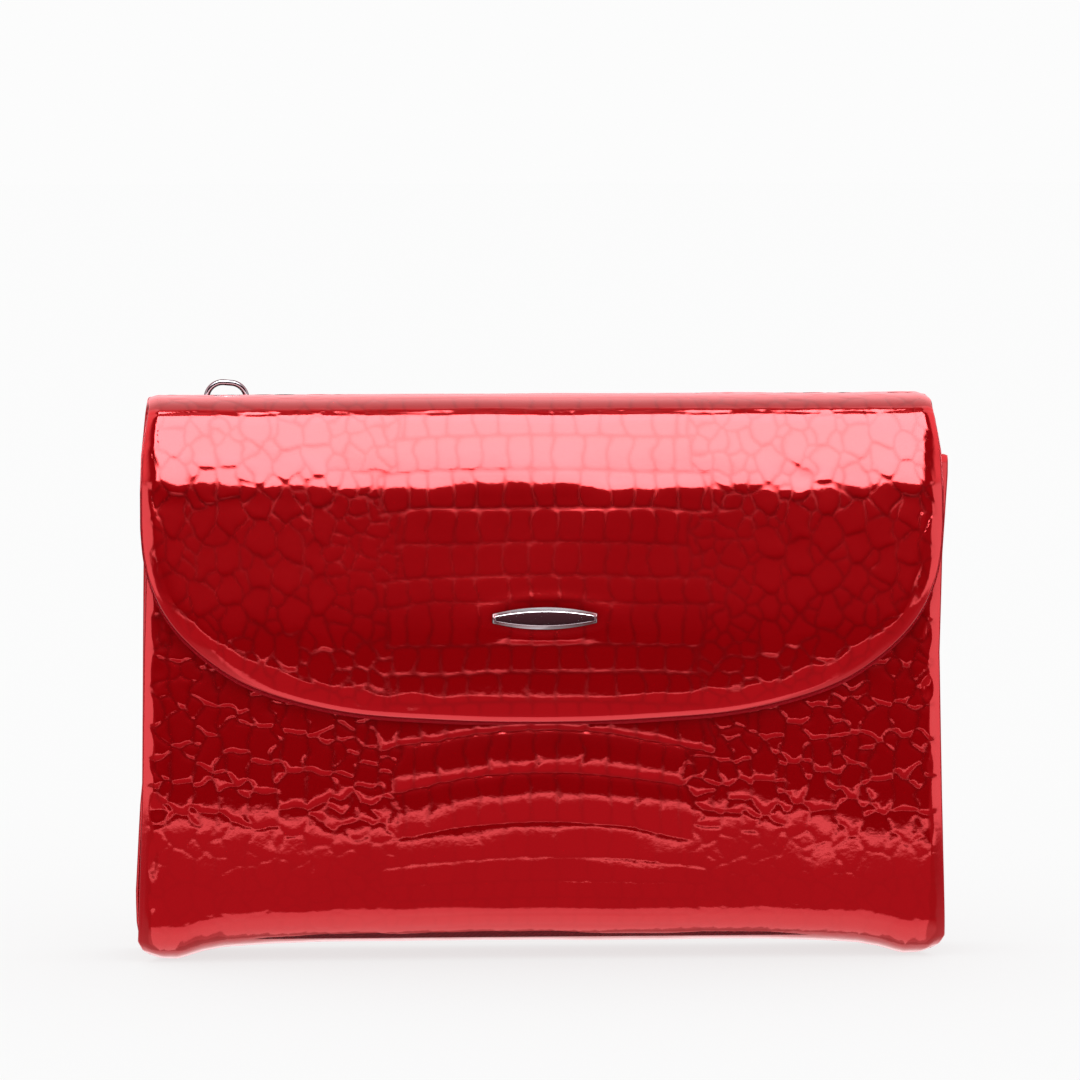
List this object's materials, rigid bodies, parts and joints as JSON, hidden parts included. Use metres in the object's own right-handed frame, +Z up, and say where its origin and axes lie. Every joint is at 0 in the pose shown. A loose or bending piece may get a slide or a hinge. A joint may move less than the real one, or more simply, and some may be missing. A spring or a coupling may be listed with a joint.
{
  "type": "clutch purse",
  "caption": "Small flap clutch in crocodile-embossed patent leather with a magnetic closure, side gussets, inner zip pocket and a wrist strap ring.",
  "frame": {"origin": "on the resting plane, at the middle of the overall box", "axes": "+X along the width to the right seen from the front, +Y from front to back, +Z up"},
  "size_m": [0.2228, 0.05, 0.1588],
  "materials": {
    "patent_leather": "crocodile-embossed patent leather, high gloss",
    "edge_leather": "patent leather tab, high gloss, stitched",
    "lining_cloth": "fine twill lining, matt",
    "pocket_cloth": "plain cotton pocketing, matt",
    "board": "bonded fibre board, matt",
    "foam": "thin closed-cell foam, matt",
    "chrome": "polished plated zinc alloy",
    "steel": "plain pressed steel",
    "magnet": "ferrite disc magnet, matt",
    "zip_tape": "woven zip tape, matt",
    "zip_metal": "nickel-plated zip metal"
  },
  "bodies": {
    "body": {"back_panel": "patent_leather", "base_panel": "patent_leather", "gusset_left": "patent_leather", "gusset_right": "patent_leather", "back_board": "board", "base_board": "board", "back_lining": "lining_cloth", "base_lining": "lining_cloth", "pocket_bag": "pocket_cloth", "zip_tape_upper": "zip_tape", "zip_tape_lower": "zip_tape", "zip_teeth_upper": "zip_metal", "zip_teeth_lower": "zip_metal", "zip_end_stops": "zip_metal", "ring_tab": "edge_leather"},
    "front": {"front_panel": "patent_leather", "front_board": "board", "front_lining": "lining_cloth", "card_pocket_1": "lining_cloth", "card_pocket_2": "lining_cloth", "card_pocket_3": "lining_cloth", "snap_socket_cap": "chrome", "snap_magnet": "magnet", "snap_socket_base": "steel", "snap_socket_washer": "steel"},
    "flap_spine": {"spine_leather": "patent_leather", "spine_lining": "lining_cloth"},
    "flap": {"flap_leather": "patent_leather", "flap_foam": "foam", "flap_board": "board", "flap_lining": "lining_cloth", "snap_stud": "chrome", "snap_stud_washer": "steel", "ornament": "chrome", "ornament_clips": "steel"},
    "wrist_ring": {"wrist_ring": "chrome"},
    "zip_slider": {"zip_slider": "zip_metal"},
    "zip_puller": {"zip_puller": "zip_metal"}
  },
  "joints": [
    {"name": "flap_lift", "type": "hinge", "parent": "body", "child": "flap_spine", "pos_m": [0, 0.01827, 0.1505], "axis": [-1, 0, 0], "range_deg": [0, 80]},
    {"name": "flap_unroll", "type": "hinge", "parent": "flap_spine", "child": "flap", "pos_m": [0, -0.00753, 0.15428], "axis": [-1, 0, 0], "range_deg": [0, 90]},
    {"name": "mouth_open", "type": "hinge", "parent": "body", "child": "front", "pos_m": [0, -0.01473, 0.0035], "axis": [1, 0, 0], "range_deg": [0, 11.25], "deforming": ["gusset_left", "gusset_right"]},
    {"name": "wrist_ring_swing", "type": "hinge", "parent": "body", "child": "wrist_ring", "pos_m": [-0.0866, 0.02317, 0.1482], "axis": [-0.9962, 0, 0.0872], "range_deg": [0, 150]},
    {"name": "zip_slide", "type": "slide", "parent": "body", "child": "zip_slider", "axis": [1, 0, 0], "range_m": [0, 0.115]},
    {"name": "zip_puller_swing", "type": "hinge", "parent": "zip_slider", "child": "zip_puller", "pos_m": [-0.0575, 0.01344, 0.11779], "axis": [0, 0.0316, -0.9995], "range_deg": [0, 150]}
  ],
  "couplings": [
    {"joint": "flap_unroll", "follows": "flap_lift", "ratio": 1.125},
    {"joint": "mouth_open", "follows": "flap_lift", "ratio": 0.14}
  ]
}
